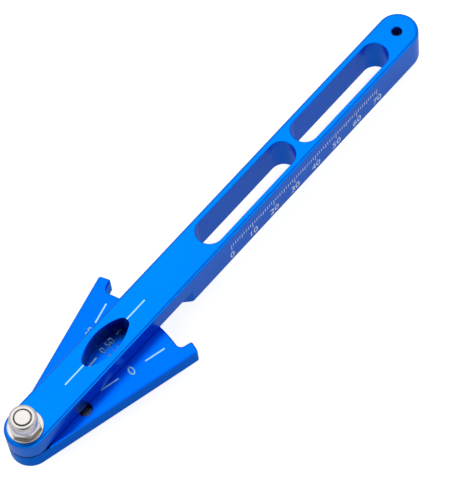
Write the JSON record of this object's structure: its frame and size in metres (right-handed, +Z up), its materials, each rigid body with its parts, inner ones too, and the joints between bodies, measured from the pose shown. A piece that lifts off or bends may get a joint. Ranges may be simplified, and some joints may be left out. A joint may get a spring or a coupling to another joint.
{
  "type": "chain wear gauge",
  "caption": "Blue anodised bicycle chain wear gauge: a slotted bar with an oval reading window over a sector plate that swings on a bolt, with a measuring pin under each.",
  "frame": {"origin": "on the pivot axis, at the flat of the bolt's domed head, which is the level that the gauge stands on", "axes": "+X along the bar from the pivot to the far end, +Z up along the pivot axis towards the nut, +Y to the side of the higher readings"},
  "size_m": [0.1869, 0.0401, 0.0246],
  "materials": {
    "bar_blue": "satin blue anodised",
    "plate_blue": "satin blue anodised",
    "bright_steel": "bright stainless",
    "pin_steel": "ground hardened steel"
  },
  "bodies": {
    "gauge": {"gauge_bar": "bar_blue", "pivot_bolt": "bright_steel", "bolt_washer": "bright_steel", "lock_nut": "bright_steel", "bar_pin": "pin_steel"},
    "plate": {"sector_plate": "plate_blue", "plate_pin": "pin_steel"}
  },
  "joints": [
    {"name": "plate_swing", "type": "hinge", "parent": "gauge", "child": "plate", "pos_m": [0, 0, 0.0069], "axis": [0, 0, 1], "continuous": true}
  ]
}
